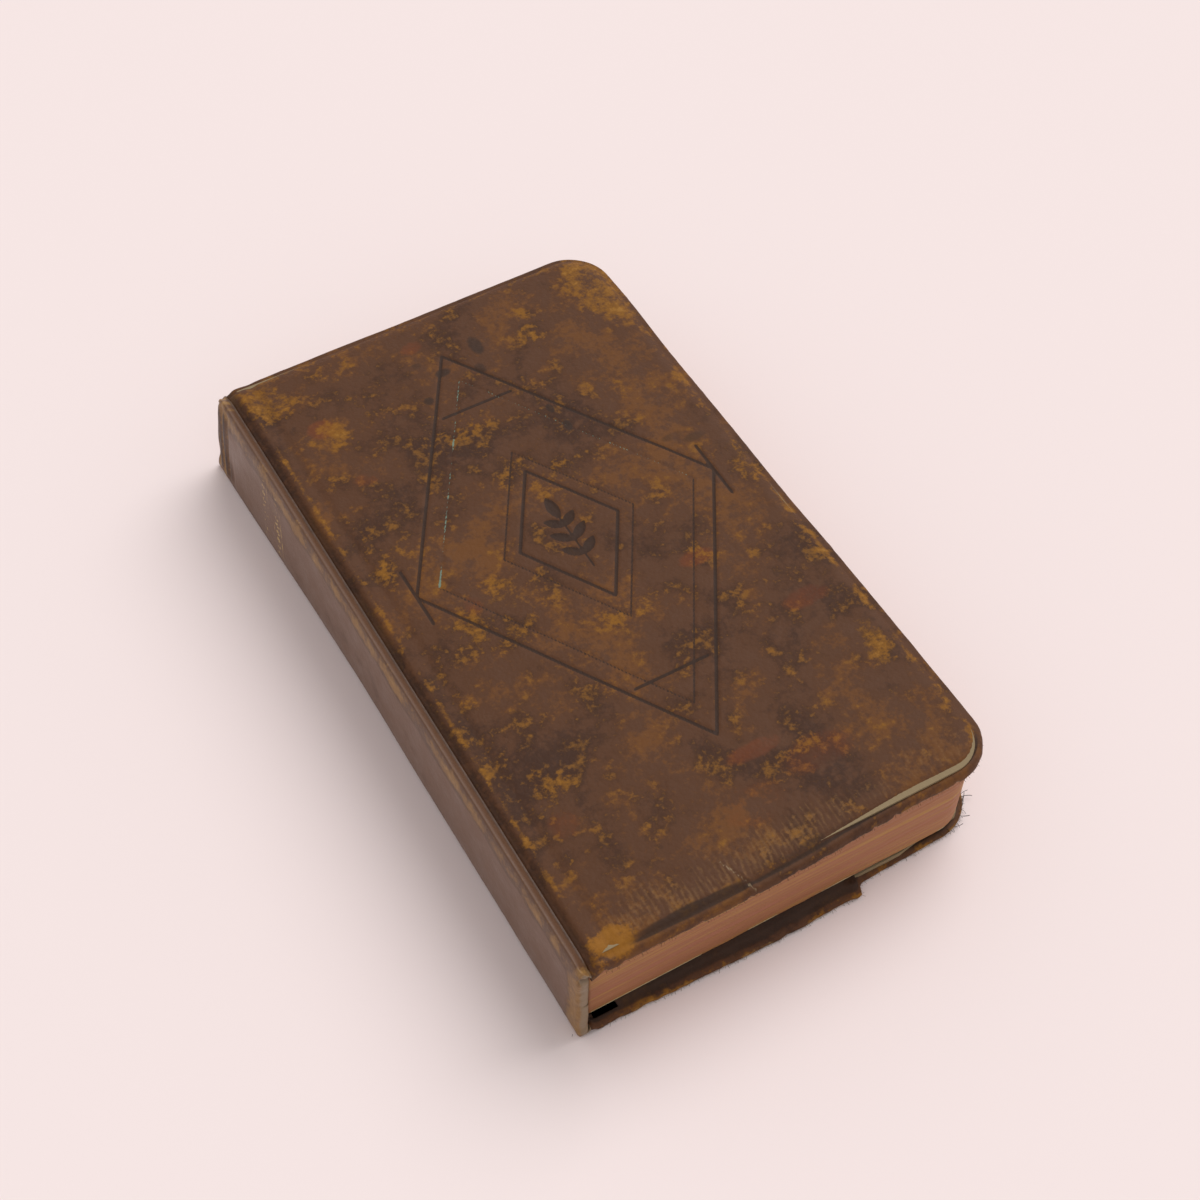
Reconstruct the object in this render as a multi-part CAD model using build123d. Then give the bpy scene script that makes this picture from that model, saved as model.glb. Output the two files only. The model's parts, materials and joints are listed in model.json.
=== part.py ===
"""Small pocket book bound in limp brown leather, closed and lying on its back cover.

The pages are sewn, backed to a shoulder at each joint, and held in one soft leather skin: a front
panel and a back panel over thin boards, and a spine stuck straight to the pages.  Each panel has a
lip of doubled leather past its board; the front lip is curled down over the page edges, and the back
one is pressed flat, with a strip torn away at the tail corner.

Frame: +X from the spine to the fore-edge, +Y from the tail to the head, +Z up, in millimetres.  The
origin is on the table, under the middle of the book.
"""
from build123d import *
import os

# ---------------------------------------------------------------- the closed book
cover_width = 102.0  # spine face to fore-edge
cover_height = 174.5  # tail to head
book_thickness = 28.0  # table to the top of the front cover

# ---------------------------------------------------------------- the covers
cover_leather = 0.9
board_thickness = 1.5
turn_in_leather = 0.4  # the skin is pared thin where it is turned in over the board
turn_in_width = 13.0
pastedown_thickness = 0.2
lip_width = 2.2  # doubled leather past the board, on the three open sides
rim_leather = 0.4  # skin round the board's edge, inside the lip
front_lip_height = 4.0  # curled down over the pages
back_lip_height = 1.8  # pressed flat on the table
fore_corner_radius = 11.0
lip_edge_radius = 0.8
paste_edge = 3.0  # turned-in leather left bare past the pastedown

# ---------------------------------------------------------------- the joints
hinge_from_spine = 3.0  # the line down the middle of the joint's groove
groove_half_width = 2.2
groove_depth = 1.3
joint_leather = 1.0  # skin under the groove
hinge_gap = 0.3  # between the spine's skin and a cover's skin
hinge_rise = 0.15  # hinge line's height past the outer face, so a cover lies clear of the spine
paste_from_hinge = 1.0

# ---------------------------------------------------------------- the spine
spine_leather_thickness = 1.2
lining_thickness = 0.4
mull_thickness = 0.3
spine_turn_in = 12.0  # at head and tail, where the lining and the mull stop short
shoulder_drop = 5.0  # rounding from the ridge beside the groove down to the spine's face
head_spine_radius = 6.0  # the head cap is pulled in
tail_spine_radius = 2.5

# ---------------------------------------------------------------- the pages
block_clearance = 0.5  # page edges to the lip
leaf_thickness = 0.2
leaf_gap = 0.1  # between a flyleaf and the pastedown that it faces
leaf_from_hinge = 0.9
page_corner_radius = 8.5

# ---------------------------------------------------------------- the torn corner of the back cover
# Points of the tear, as (distance from the fore-edge, distance from the tail).
tear_line = [(34.5, -1.0), (32.0, 1.0), (17.0, 3.3), (-1.0, 5.0), (-1.0, -1.0)]

# ---------------------------------------------------------------- what follows from them
x_spine = -cover_width / 2
x_fore = cover_width / 2
x_hinge = x_spine + hinge_from_spine
x_ridge = x_hinge - groove_half_width
x_board = x_hinge + groove_half_width
half_height = cover_height / 2
z_middle = book_thickness / 2

board_inset = lip_width + rim_leather
board_top = cover_leather + board_thickness
turn_in_top = board_top + turn_in_leather
cover_stack = turn_in_top + pastedown_thickness
past_cover = cover_stack + front_lip_height  # how far a cut goes to leave a cover on its inner side
joint_depth = groove_depth + joint_leather

block_inset = lip_width + block_clearance
block_half_height = half_height - block_inset
z_block = cover_stack + leaf_gap + leaf_thickness  # lowest page face above the table
x_lining = x_spine + spine_leather_thickness
x_mull = x_lining + lining_thickness
x_block = x_mull + mull_thickness
x_leaf = x_hinge + leaf_from_hinge
groove_radius = (groove_half_width**2 + groove_depth**2) / (2 * groove_depth)


def slab(x_from, inset, radius, z_from, z_to):
    """A leaf or panel: square at the joint, round at its two fore-edge corners, drawn in by inset."""
    width = x_fore - inset - x_from
    sketch = Pos(x_from + width / 2, 0) * Rectangle(width, 2 * (half_height - inset))
    sketch = fillet(sketch.vertices().group_by(Axis.X)[-1], radius)
    return extrude(Pos(0, 0, z_from) * sketch, amount=z_to - z_from)


def cover_slab(x_from, inset, z_from, z_to):
    """A slab whose corners follow the cover's corners."""
    return slab(x_from, inset, max(fore_corner_radius - inset, 1.0), z_from, z_to)


def box(x_from, x_to, half_length, z_from, z_to):
    """A block between two x and two z values, centred on the book's length."""
    middle = Pos((x_from + x_to) / 2, 0, (z_from + z_to) / 2)
    return middle * Box(x_to - x_from, 2 * half_length, z_to - z_from)


def skin_outline():
    """The plan of the whole skin as a tall prism, with each of its four corners rounded."""
    plan = Rectangle(cover_width, cover_height)
    plan = fillet(plan.vertices().group_by(Axis.X)[-1], fore_corner_radius)
    plan = fillet(plan.vertices().group_by(Axis.X)[0].sort_by(Axis.Y)[0], tail_spine_radius)
    plan = fillet(plan.vertices().sort_by(Axis.Y)[-2:].sort_by(Axis.X)[0], head_spine_radius)
    return extrude(plan, amount=book_thickness)


def groove():
    """The round groove pressed along a joint, on the side of the back cover."""
    centre = Pos(x_hinge, 0, groove_depth - groove_radius)
    return centre * Rot(90, 0, 0) * Cylinder(groove_radius, cover_height + 2)


def to_front(piece):
    """The same piece on the other side of the pages."""
    return mirror(piece, about=Plane.XY.offset(z_middle))


def tear():
    """What is missing from the back cover, as a prism."""
    points = [(x_fore - from_fore, from_tail - half_height) for from_fore, from_tail in tear_line]
    return extrude(make_face(Polyline(*points, close=True)), amount=cover_stack)


# Each cover is made lying on the table, with its outer face at z = 0; the front one is then mirrored.


def make_board():
    """The thin board, which stops at the ridge beside the joint."""
    return cover_slab(x_board, board_inset, cover_leather, board_top)


def make_pastedown():
    """The paper stuck inside a cover; in the middle it is built up level with the turned-in leather."""
    sheet = cover_slab(x_hinge + paste_from_hinge, board_inset + paste_edge, turn_in_top, cover_stack)
    fill = cover_slab(x_board, board_inset + turn_in_width, board_top, turn_in_top)
    return sheet + fill


def make_cover_leather(lip_height):
    """One cover's skin: outer face, lip, and the leather turned in over the board."""
    x_from = x_hinge + hinge_gap / 2
    skin = cover_slab(x_from, 0, 0, lip_height)
    outer_edges = skin.faces().sort_by(Axis.Z)[0].edges().sort_by(Axis.X)[1:]
    skin = fillet(outer_edges, lip_edge_radius)
    skin -= cover_slab(x_from - 1, lip_width, cover_leather, past_cover)
    skin += cover_slab(x_from, lip_width, cover_leather, turn_in_top)
    skin -= box(x_from - 1, x_hinge + paste_from_hinge, half_height, joint_depth, past_cover)
    skin -= groove()
    skin &= skin_outline()
    return skin - make_board() - make_pastedown()


def make_text_block():
    """The sewn pages as one solid, with the shoulder that backing gives them at each joint."""
    x_edge = x_fore - block_inset
    x_slope = x_hinge - hinge_gap / 2
    z_shoulder = joint_depth
    lower = [(x_block, z_shoulder), (x_slope, z_shoulder), (x_leaf, z_block), (x_edge, z_block)]
    upper = [(x, book_thickness - z) for x, z in reversed(lower)]
    profile = Plane.XZ * make_face(Polyline(*lower, *upper, close=True))
    block = extrude(profile, amount=block_half_height, both=True)
    corners = block.edges().filter_by(Axis.Z).group_by(Axis.X)[-1]
    return fillet(corners, page_corner_radius)


def make_flyleaf():
    """The first free leaf at the back of the pages."""
    return slab(x_leaf, block_inset, page_corner_radius, z_block - leaf_thickness, z_block)


def spine_strip(x_from, thickness):
    """A strip down the back of the pages, stopping short of the leather turned in at its ends."""
    half_length = block_half_height - spine_turn_in
    return box(x_from, x_from + thickness, half_length, joint_depth, book_thickness - joint_depth)


def make_spine_leather(inner_pieces):
    """The skin over the spine from joint to joint, closed at head and tail by its caps."""
    z_low, z_high = shoulder_drop, book_thickness - shoulder_drop
    bulge = 1 - 0.5**0.5
    x_mid = x_spine + (x_ridge - x_spine) * bulge
    z_mid = shoulder_drop * bulge
    x_end = x_hinge - hinge_gap / 2
    outline = [
        Line((x_end, 0), (x_ridge, 0)),
        ThreePointArc((x_ridge, 0), (x_mid, z_mid), (x_spine, z_low)),
        Line((x_spine, z_low), (x_spine, z_high)),
        ThreePointArc((x_spine, z_high), (x_mid, book_thickness - z_mid), (x_ridge, book_thickness)),
        Line((x_ridge, book_thickness), (x_end, book_thickness)),
        Line((x_end, book_thickness), (x_end, 0)),
    ]
    skin = extrude(Plane.XZ * make_face(outline), amount=half_height, both=True)
    skin = skin - groove() - to_front(groove())
    skin &= skin_outline()
    for piece in inner_pieces:
        skin -= piece
    return skin


board = make_board()
pastedown = make_pastedown()
flyleaf = make_flyleaf()
text_block = make_text_block()
spine_lining = spine_strip(x_lining, lining_thickness)
spine_mull = spine_strip(x_mull, mull_thickness)

nodes = {
    "text_block": text_block,
    "spine_mull": spine_mull,
    "spine_lining": spine_lining,
    "spine_leather": make_spine_leather([text_block, spine_mull, spine_lining]),
    "front_flyleaf": to_front(flyleaf),
    "back_flyleaf": flyleaf,
    "front_leather": to_front(make_cover_leather(front_lip_height)),
    "front_board": to_front(board),
    "front_pastedown": to_front(pastedown),
    "back_leather": make_cover_leather(back_lip_height) - tear(),
    "back_board": board - tear(),
    "back_pastedown": pastedown,
}

os.makedirs("parts", exist_ok=True)
for name, piece in nodes.items():
    export_step(piece, f"parts/{name}.step")
print("hinge lines at x", x_hinge, "z", -hinge_rise, "and", book_thickness + hinge_rise)
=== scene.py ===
# %% [markdown]
# # A worn leather pocket book
#
# The book lies closed on its back cover.  One soft brown skin runs from the front cover, down the
# spine and under the back cover.  Thin boards stiffen the covers, and the pages are coloured red on
# their edges.  The lesson builds the skin first, because it fills most of the view, then the pages,
# the papers inside the covers, and the loose fibres along the worn edges.
#
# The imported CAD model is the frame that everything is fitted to, so it is loaded before anything else.

# %% Load the frame
import json
import math

import bpy
import numpy as np
from mathutils import Matrix, Vector


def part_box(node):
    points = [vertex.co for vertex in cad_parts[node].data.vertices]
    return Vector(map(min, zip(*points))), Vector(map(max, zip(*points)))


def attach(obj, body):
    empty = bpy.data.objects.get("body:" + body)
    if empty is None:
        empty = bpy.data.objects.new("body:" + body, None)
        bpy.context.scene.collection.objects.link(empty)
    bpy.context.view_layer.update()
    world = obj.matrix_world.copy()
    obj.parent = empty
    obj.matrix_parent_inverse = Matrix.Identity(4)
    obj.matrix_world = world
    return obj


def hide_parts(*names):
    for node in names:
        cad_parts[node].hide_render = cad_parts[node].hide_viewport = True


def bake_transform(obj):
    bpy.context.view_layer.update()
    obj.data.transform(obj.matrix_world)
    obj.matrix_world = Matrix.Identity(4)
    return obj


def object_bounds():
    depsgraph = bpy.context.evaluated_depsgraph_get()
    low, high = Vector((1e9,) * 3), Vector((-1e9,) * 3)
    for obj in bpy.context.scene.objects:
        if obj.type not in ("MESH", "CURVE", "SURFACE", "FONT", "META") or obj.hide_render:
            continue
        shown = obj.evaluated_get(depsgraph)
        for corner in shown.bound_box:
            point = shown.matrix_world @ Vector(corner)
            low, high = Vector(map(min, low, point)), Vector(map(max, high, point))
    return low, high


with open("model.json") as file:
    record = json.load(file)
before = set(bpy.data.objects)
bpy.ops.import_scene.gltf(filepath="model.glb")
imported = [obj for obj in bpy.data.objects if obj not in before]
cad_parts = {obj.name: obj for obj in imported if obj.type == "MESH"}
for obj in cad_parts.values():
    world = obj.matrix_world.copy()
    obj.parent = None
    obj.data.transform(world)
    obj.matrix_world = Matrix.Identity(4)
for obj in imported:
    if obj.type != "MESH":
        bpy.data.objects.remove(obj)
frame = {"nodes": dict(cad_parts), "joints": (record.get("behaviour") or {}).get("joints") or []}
cad_low, cad_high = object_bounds()
print("CAD box, mm:", [round(v * 1000, 1) for v in cad_high - cad_low])

# %% [markdown]
# A bookbinder measures from the tail end of the spine, so all the making below is in millimetres from
# there: x runs to the fore-edge, y to the head, z up from the table.  `place` moves such points into
# the frame, in metres.  The sizes that the skin has to fit are read from the CAD nodes.

# %% Sizes in bookbinder's millimetres
MM = 0.001
origin = np.array([cad_low.x, cad_low.y, cad_low.z])
width, height, thick = [(cad_high[k] - cad_low[k]) / MM for k in range(3)]


def node_box(name):
    """A CAD node's lowest and highest corners, in bookbinder's millimetres."""
    low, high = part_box(name)
    return (np.array(low) - origin) / MM, (np.array(high) - origin) / MM


def place(points):
    """Bookbinder's millimetres to metres in the frame."""
    return np.asarray(points, float) * MM + origin


leaf_low, leaf_high = node_box("front_flyleaf")
paste_low, paste_high = node_box("front_pastedown")
back_leaf_low = node_box("back_flyleaf")[0]
hinge_x = (frame["joints"][0]["pos_m"][0] - cad_low.x) / MM
groove_deep = 1.3
groove_half = 2.2
corner_radius = 11.0
page_radius = 8.5
print("cover", round(width, 1), "x", round(height, 1), "x", round(thick, 1), "hinge at", round(hinge_x, 2))

# %% [markdown]
# Old leather is never flat or even.  Two kinds of randomness are used: a lattice noise here, which
# moves the vertices, and the shader's own noise later, which breaks up the colour.  A lattice of
# fixed random numbers, smoothly interpolated, gives the same hills and hollows on each run.

# %% Noise and easing for vertices
def ease(low, high, value):
    """0 below low, 1 above high, and smooth between them."""
    t = np.clip((np.asarray(value, float) - low) / (high - low), 0, 1)
    return t * t * (3 - 2 * t)


def hump(value, centre, half_width):
    """A smooth bump of height 1."""
    return np.exp(-(((np.asarray(value, float) - centre) / half_width) ** 2))


def noise(x, y, size, seed):
    """Smooth hills between -1 and 1, about size apart."""
    table = np.random.default_rng(seed).uniform(-1, 1, (257, 257))
    u, v = np.asarray(x, float) / size + 61.3, np.asarray(y, float) / size + 47.7
    i, j = np.floor(u).astype(int), np.floor(v).astype(int)
    a, b = ease(0, 1, u - i), ease(0, 1, v - j)
    i, j = i % 256, j % 256
    low = table[i, j] * (1 - a) + table[i + 1, j] * a
    high = table[i, j + 1] * (1 - a) + table[i + 1, j + 1] * a
    return low * (1 - b) + high * b


def rough(x, y, size, seed, octaves=3):
    """Noise with smaller hills on the larger ones."""
    return sum(noise(x, y, size / 2**k, seed + k) * 0.5**k for k in range(octaves))


def soft_spots(x, y, spots):
    """Soft-edged ovals, each (x, y, half width, half height, strength); the strongest one counts."""
    field = np.zeros_like(x)
    for cx, cy, rx, ry, strength in spots:
        oval = np.sqrt(((x - cx) / rx) ** 2 + ((y - cy) / ry) ** 2)
        field = np.maximum(field, strength * (1 - ease(0.45, 1.15, oval)))
    return field


# %% [markdown]
# Every mesh but the fibres is made the same way: a table of points, a list of faces, and named numbers
# on the vertices, which the materials read.  One helper does it.

# %% Make a mesh piece
def make_piece(name, points, faces, marks=None, smooth=True):
    """A mesh object at the origin, from points in bookbinder's millimetres."""
    mesh = bpy.data.meshes.new(name)
    mesh.from_pydata(place(points).tolist(), [], faces)
    for mark, values in (marks or {}).items():
        layer = mesh.attributes.new(mark, "FLOAT", "POINT")
        layer.data.foreach_set("value", np.asarray(values, np.float32))
    if smooth:
        mesh.polygons.foreach_set("use_smooth", np.ones(len(mesh.polygons), bool))
    mesh.update()
    piece = bpy.data.objects.new(name, mesh)
    bpy.context.scene.collection.objects.link(piece)
    triangles = sum(len(p.vertices) - 2 for p in mesh.polygons)
    print(name, "points", len(mesh.vertices), "triangles", triangles)
    return piece


# %% [markdown]
# The cover is blind tooled: a heated tool pressed lines into the damp leather and burned them dark.
# The design here is a plain panel of nested lozenges round a small leafy sprig, of the kind that
# binders have always used.  Each mark is kept as the distance to its nearest line, because a distance
# interpolates cleanly between vertices, and so even a coarse mesh shows a crisp line.

# %% The tooled design
design_x = width / 2 + 1.3
design_y = 96.0
TOOL_REACH = 1.5  # the distance at which a mark has faded to nothing


def to_segment(x, y, start, end):
    """Distance from each point to a straight line between two ends."""
    (ax, ay), (bx, by) = start, end
    along = ((x - ax) * (bx - ax) + (y - ay) * (by - ay)) / ((bx - ax) ** 2 + (by - ay) ** 2)
    along = np.clip(along, 0, 1)
    return np.hypot(x - ax - along * (bx - ax), y - ay - along * (by - ay))


def to_lozenge(x, y, half_wide, half_high):
    """Distance to the outline of a lozenge on the design's centre."""
    tips = [(half_wide, 0), (0, half_high), (-half_wide, 0), (0, -half_high)]
    u, v = x - design_x, y - design_y
    return np.min([to_segment(u, v, tips[k], tips[(k + 1) % 4]) for k in range(4)], axis=0)


def to_leaf(x, y, base, turn, reach, half_wide):
    """Distance to a pointed leaf that leaves its base, measured from the centre, in the direction turn."""
    u, v = x - design_x - base[0], y - design_y - base[1]
    along = u * math.cos(turn) + v * math.sin(turn)
    across = -u * math.sin(turn) + v * math.cos(turn)
    wide = half_wide * np.sin(np.pi * np.clip(along / reach, 0, 1)) ** 0.8
    outside = np.maximum(np.abs(along - reach / 2) - reach / 2, 0)
    return np.hypot(np.maximum(np.abs(across) - wide, 0), outside)


def tooling(x, y):
    """How near each point is to the thick and to the thin lines, from 1 on a line to 0."""
    thick_lines = [
        to_lozenge(x, y, 38.0, 62.0),
        to_lozenge(x, y, 12.5, 20.5),
        to_segment(x, y, (design_x - 9, design_y - 44), (design_x + 9, design_y - 44)),
        to_segment(x, y, (design_x - 9, design_y + 44), (design_x + 9, design_y + 44)),
    ]
    for side in (-1, 1):
        tip = design_x + side * 38.0
        thick_lines.append(to_segment(x, y, (tip, design_y - 8), (tip, design_y + 8)))
    thick_lines.append(to_segment(x, y, (design_x, design_y - 11), (design_x, design_y + 4)) + 0.15)
    for base_y, reach in ((-7.0, 5.2), (-2.5, 5.6), (2.0, 4.8)):
        for turn in (40, 140):
            thick_lines.append(to_leaf(x, y, (0, base_y), math.radians(turn), reach, 1.0) + 0.15)
    thick_lines.append(to_leaf(x, y, (0, 4.5), math.radians(90), 6.5, 1.2) + 0.15)
    upper = y > design_y
    thin = np.where(upper, to_lozenge(x, y, 32.5, 53.0), TOOL_REACH)
    faint = np.where(upper, TOOL_REACH, to_lozenge(x, y, 32.5, 53.0)) + 0.15
    faint = np.minimum(faint, to_lozenge(x, y, 16.5, 27.0) + 0.15)
    thick_near = np.clip(1 - np.min(thick_lines, axis=0) / TOOL_REACH, 0, 1)
    faint_near = np.clip(1 - faint / TOOL_REACH, 0, 1)
    return np.maximum(thick_near, faint_near * 0.97), np.clip(1 - thin / TOOL_REACH, 0, 1)


# %% [markdown]
# The cover's surface is a height map.  Next to the spine the leather dips into the joint's groove;
# past it the board's edge makes a low ridge.  At the three open sides the skin rolls down over the
# board into a soft lip, with a crease just inside it.  Near the tail, years of handling have gathered
# the leather into fine wrinkles that run towards the edge.

# %% The cover as a height map
def edge_distance(x, y, radius=corner_radius):
    """Distance in from the cover's three open sides, with its rounded corners."""
    flat = np.minimum(np.minimum(y, height - y), width - x)
    over_x = x - (width - radius)
    over_y = np.maximum(radius - y, y - (height - radius))
    in_corner = (over_x > 0) & (over_y > 0)
    return np.where(in_corner, radius - np.hypot(np.maximum(over_x, 0), np.maximum(over_y, 0)), flat)


def wrinkle_field(x, y):
    """Where the tail is wrinkled, and the wave of the wrinkles themselves."""
    where = ease(1.8, 4.0, y) * (1 - ease(6.5, 17.0, y + 2.5 * noise(x, y, 7, 5)))
    where = where * ease(4, 12, x) * (1 - 0.35 * ease(50, 80, x))
    wave = np.sin(2 * np.pi * (x + 1.1 * noise(x, y, 9, 8) + 0.25 * noise(x, y, 1.6, 9)) / 1.25)
    return where, wave


def slit_distance(x, y):
    """Distance to the short raised fold at the tail edge."""
    return to_segment(x, y, (36.6, 8.4), (40.3, -0.5))


def cover_depth(x, y):
    """How far the front cover's outer face lies below the top of the book."""
    groove = groove_deep * np.cos(np.clip((x - hinge_x) / groove_half, -1, 1) * np.pi / 2) ** 2
    valley = 0.32 * hump(x, 8.6, 1.5) + 0.1 * hump(x, 12, 3)
    d = edge_distance(x, y)
    roll = 1.25 * (1 - ease(0.2, 6.0, d)) ** 1.6
    tailward = 1 - ease(4, 9, y)
    strong = 0.55 + 0.45 * tailward + 0.3 * noise(x, y, 11, 21)
    crease = 0.42 * strong * hump(d, 1.75 + 0.25 * noise(x, y, 8, 22), 0.42)
    wobble = 0.16 * rough(x, y, 34, 31) + 0.035 * rough(x, y, 5, 37)
    where, wave = wrinkle_field(x, y)
    wrinkles = 0.085 * where * wave
    thick_near, thin_near = tooling(x, y)
    pressed = 0.36 * ease(0.62, 0.95, thick_near) + 0.16 * ease(0.75, 0.95, thin_near)
    slit = slit_distance(x, y)
    fold = 0.38 * ease(0.0, 0.5, slit) * hump(slit, 0.5, 0.55) * np.where(x > 38.4, 1, 0.4)
    keep = ease(hinge_x, hinge_x + 2, x)
    return groove + roll + crease + valley + keep * (0.16 + wobble + wrinkles + pressed - fold)


# %% [markdown]
# Wear has a place, too: leather rubs pale where a hand holds it, along ridges and at corners.  Shade is
# painted in with the stains: the groove, the valley beside it and the crease inside the lip are darkened.
# These marks are kept on the vertices as soft ovals, and the material gives them ragged edges.

# %% Where the cover is worn, stained, reddened and darkened with painted shade
worn_spots = [
    (97, 160, 9, 19, 0.75), (10, 165, 7, 8, 0.65), (27, 167, 8, 6, 0.35), (17, 148, 9, 7, 0.5),
    (27, 152, 3.5, 9, 0.45), (74, 155, 4, 10, 0.4), (44, 137, 12, 7, 0.35), (50, 126, 9, 4, 0.35),
    (18, 107, 12, 7, 0.35), (27, 84, 15, 13, 0.45), (15, 38, 8, 8, 0.5), (94, 38, 5, 9, 0.6),
    (86, 128, 5, 6, 0.35), (56, 112, 13, 10, 0.35), (65, 23, 9, 3, 0.35), (52, 72, 14, 6, 0.3),
    (80, 77, 12, 4, 0.35), (10, 60, 4, 22, 0.3), (97, 96, 3.5, 10, 0.4), (40, 52, 6, 5, 0.3),
]
stain_spots = [
    (50.0, 153, 2.6, 1.7, 0.8), (61, 157, 2.3, 4.4, 0.75), (58.5, 150, 2.0, 2.6, 0.6),
    (43, 146.5, 1.7, 1.7, 0.7), (45.5, 158, 1.9, 1.6, 0.5), (66.6, 130.5, 1.1, 2.0, 0.85),
    (67.7, 124, 1.3, 2.2, 0.9), (87, 109, 4.0, 1.9, 0.45), (91.5, 106.5, 4.5, 1.9, 0.5),
    (96, 102, 3.5, 2.4, 0.4), (27, 2.4, 17, 1.5, 0.8), (56, 3.0, 14, 1.0, 0.45), (4.6, 21, 1.4, 14, 0.3),
    (62, 148, 17, 11, 0.22), (83, 143, 7, 9, 0.25), (64, 92, 9, 7, 0.18), (14, 30, 5, 3, 0.3),
]
red_spots = [
    (17, 151, 4.5, 4, 0.8), (73, 76, 6, 3, 0.7), (57, 27, 9, 3, 0.7), (14, 31, 5, 5, 0.5),
    (47, 164, 4, 3, 0.6), (88, 55, 8, 4, 0.6), (68, 20, 12, 7, 0.5), (20, 132, 5, 3, 0.5),
    (24, 88, 3, 4, 0.6), (50, 16, 12, 8, 0.4),
]


def cover_marks(x, y):
    """The named numbers that the leather's material reads on a cover."""
    d = edge_distance(x, y)
    ridge = 0.75 * hump(x, 5.7, 0.75) + 0.35 * hump(x, 11.5, 1.6)
    ragged = 0.5 + 0.5 * noise(x, y, 6, 41)
    edge = (0.25 + 0.5 * ragged) * hump(d, 2.9, 1.3) * (1 - 0.6 * ease(9, 3, y))
    tail_corner = soft_spots(x, y, [(9.5, 3.6, 6.5, 4.2, 1.0), (5, 1, 4, 2, 0.7)])
    golden = np.maximum(tail_corner, 0)
    worn = np.maximum(soft_spots(x, y, worn_spots), np.maximum(ridge * (0.55 + 0.45 * ragged), edge))
    worn = np.maximum(worn, golden)
    stain_and_shade = soft_spots(x, y, stain_spots)
    # Painted shade, kept with the real stains: the groove by the hinge, the valley past the board's ridge and
    # the crease inside the lip are darkened.
    stain_and_shade = np.maximum(stain_and_shade, 0.55 * hump(x, hinge_x + 0.5, 1.5))
    stain_and_shade = np.maximum(stain_and_shade, 0.4 * hump(x, 8.5, 1.1) * (0.5 + 0.5 * ragged))
    crease = hump(d, 1.75, 0.5) * (0.35 + 0.6 * (1 - ease(4, 9, y)))
    stain_and_shade = np.maximum(stain_and_shade, crease * (1 - 0.8 * golden))
    thick_near, thin_near = tooling(x, y)
    where, wave = wrinkle_field(x, y)
    slit = slit_distance(x, y)
    return {
        "worn": worn,
        "stain_and_shade": stain_and_shade,
        "red": soft_spots(x, y, red_spots),
        "tooled": thick_near,
        "verdigris": thin_near,
        # painted sheen on the tail's wrinkles, palest on their crests
        "wrinkle_sheen": where * (0.5 + 0.5 * wave) * 0.6 + where * 0.25,
        "gilt": golden,
        "scuff": np.clip(1 - np.abs(slit - 0.15) / TOOL_REACH, 0, 1),
    }


# %% [markdown]
# The book isn't quite square any more.  The head slopes, the tail edge bows out and in, and the back
# cover has crept out at the head of the spine.  A single small warp carries these faults into every
# part of the skin, so that neighbouring pieces still meet.

# %% The skin's slight crookedness
def warp(points):
    """Bookbinder's millimetres, with the skin's crookedness added."""
    x, y, z = points.T
    up = np.clip(z / thick, 0, 1)
    head = ease(118, height, y)
    front_slope = head * (-1.1 + 2.3 * np.clip(x / width, 0, 1))
    back_creep = head * 2.4 * (1 - ease(10, 70, x))
    tail = 1 - ease(0, 26, y)
    front_bow = tail * (-0.5 * hump(x, 36, 16) + 1.3 * ease(46, 84, x))
    back_bow = tail * (-1.35 * hump(x, 48, 26))
    dy = up * (front_slope + front_bow) + (1 - up) * (back_creep + back_bow)
    dx = -1.7 * ease(85, height, y) ** 1.5 * (1 - up) * (1 - ease(0, 40, x))
    fore = 0.35 * noise(y, 0 * y, 23, 51) * ease(width - 30, width, x)
    return np.column_stack([x + dx + fore, y + dy, z])


# %% [markdown]
# A cover's skin is a fine grid with rounded corners.  The last square of the grid at each fore-edge
# corner is squeezed into a quarter disc.  Rings of points then carry the grid's border over the lip
# and back inside, to the leather turned in over the board, and one wide face closes the shell.  It is
# built by hand rather than with a modifier because the lip, the turn-in and the joint side all differ.

# %% A grid with rounded corners, and the rings that close it
GRID_INSET = 0.8  # where the grid stops and the lip's rings begin
FRONT_STEP = 0.47  # the front skin's and the spine's grid, fine enough for the wrinkles


def spaced(start, end, step):
    """Even steps from start to end, no longer than step."""
    return np.linspace(start, end, int(math.ceil((end - start) / step)) + 1)


def cover_grid(step_x, step_y):
    """Grid coordinates of a cover, with the fore-edge corners rounded."""
    gx, gy = spaced(hinge_x, width - GRID_INSET, step_x), spaced(GRID_INSET, height - GRID_INSET, step_y)
    x, y = np.meshgrid(gx, gy, indexing="ij")
    reach = corner_radius - GRID_INSET
    a = np.clip((x - (width - corner_radius)) / reach, 0, 1)
    for sign, centre in ((-1, corner_radius), (1, height - corner_radius)):
        b = np.clip(sign * (y - centre) / reach, 0, 1)
        corner = (a > 0) & (b > 0)
        round_x = width - corner_radius + reach * a * np.sqrt(1 - b * b / 2)
        round_y = centre + sign * reach * b * np.sqrt(1 - a * a / 2)
        x, y = np.where(corner, round_x, x), np.where(corner, round_y, y)
    return x, y


def border(nx, ny):
    """Indices of a grid's border, anticlockwise from the tail end of the hinge side."""
    tail = [(i, 0) for i in range(nx)]
    fore = [(nx - 1, j) for j in range(1, ny)]
    head = [(i, ny - 1) for i in range(nx - 2, -1, -1)]
    hinge = [(0, j) for j in range(ny - 2, 0, -1)]
    loop = tail + fore + head + hinge
    return np.array([i * ny + j for i, j in loop]), len(tail) + len(fore) + len(head)


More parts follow.
